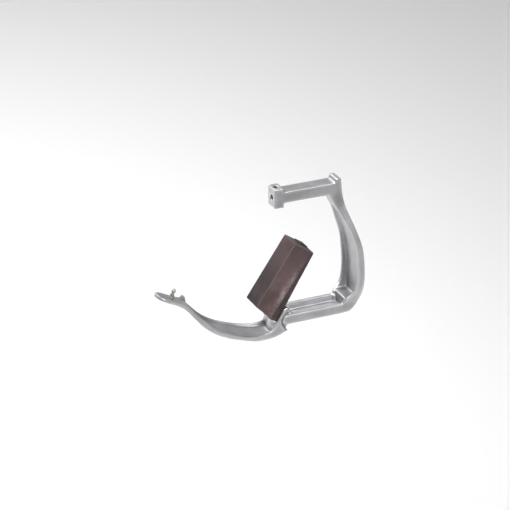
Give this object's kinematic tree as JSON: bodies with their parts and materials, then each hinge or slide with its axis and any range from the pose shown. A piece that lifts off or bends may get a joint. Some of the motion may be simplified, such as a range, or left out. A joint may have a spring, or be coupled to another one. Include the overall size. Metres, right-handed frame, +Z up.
{
  "type": "breakaway stirrup iron",
  "caption": "Western stirrup iron whose arm and tread block swing open on a hinge at the rail, released from a sprung catch in the crossbar.",
  "frame": {"origin": "centre of the crossbar's flat underside, where the stirrup leather bears", "axes": "+Z up, +X from the swing arm's side to the fixed arm, +Y to the back; the hinge pin runs along Y"},
  "size_m": [0.2767, 0.0528, 0.2012],
  "materials": {
    "cast_aluminium": "satin, tumbled casting",
    "brown_rubber": "moulded, slightly worn satin",
    "black_rubber": "matt",
    "bright_steel": "turned and polished",
    "black_screw_steel": "black oxide",
    "bronze": "plain turned"
  },
  "bodies": {
    "frame": {"main_frame": "cast_aluminium", "hinge_pin": "bright_steel", "hinge_grub_screw": "black_screw_steel", "detent_spring_upper": "bright_steel", "detent_spring_lower": "bright_steel", "detent_screw_upper": "black_screw_steel", "detent_screw_lower": "black_screw_steel"},
    "arm": {"swing_arm": "cast_aluminium", "tread_block": "brown_rubber", "end_bumper": "black_rubber", "hinge_bush_front": "bronze", "hinge_bush_rear": "bronze", "latch_pin": "bright_steel", "latch_washer": "bright_steel", "latch_nut": "bright_steel", "tread_insert_near": "bronze", "tread_insert_far": "bronze", "tread_screw_near": "black_screw_steel", "tread_screw_far": "black_screw_steel"},
    "plunger_upper": {"detent_plunger_upper": "bright_steel"},
    "plunger_lower": {"detent_plunger_lower": "bright_steel"}
  },
  "joints": [
    {"name": "arm_hinge", "type": "hinge", "parent": "frame", "child": "arm", "pos_m": [-0.025, 0, -0.1585], "axis": [0, -1, 0], "range_deg": [-63, 0]},
    {"name": "plunger_upper_slide", "type": "slide", "parent": "frame", "child": "plunger_upper", "axis": [0, 0, 1], "range_m": [0, 0.0009], "stiffness_N_per_m": 4000, "springref_m": -0.001, "deforming": ["detent_spring_upper"]},
    {"name": "plunger_lower_slide", "type": "slide", "parent": "frame", "child": "plunger_lower", "axis": [0, 0, -1], "range_m": [0, 0.0009], "stiffness_N_per_m": 4000, "springref_m": -0.001, "deforming": ["detent_spring_lower"]}
  ]
}
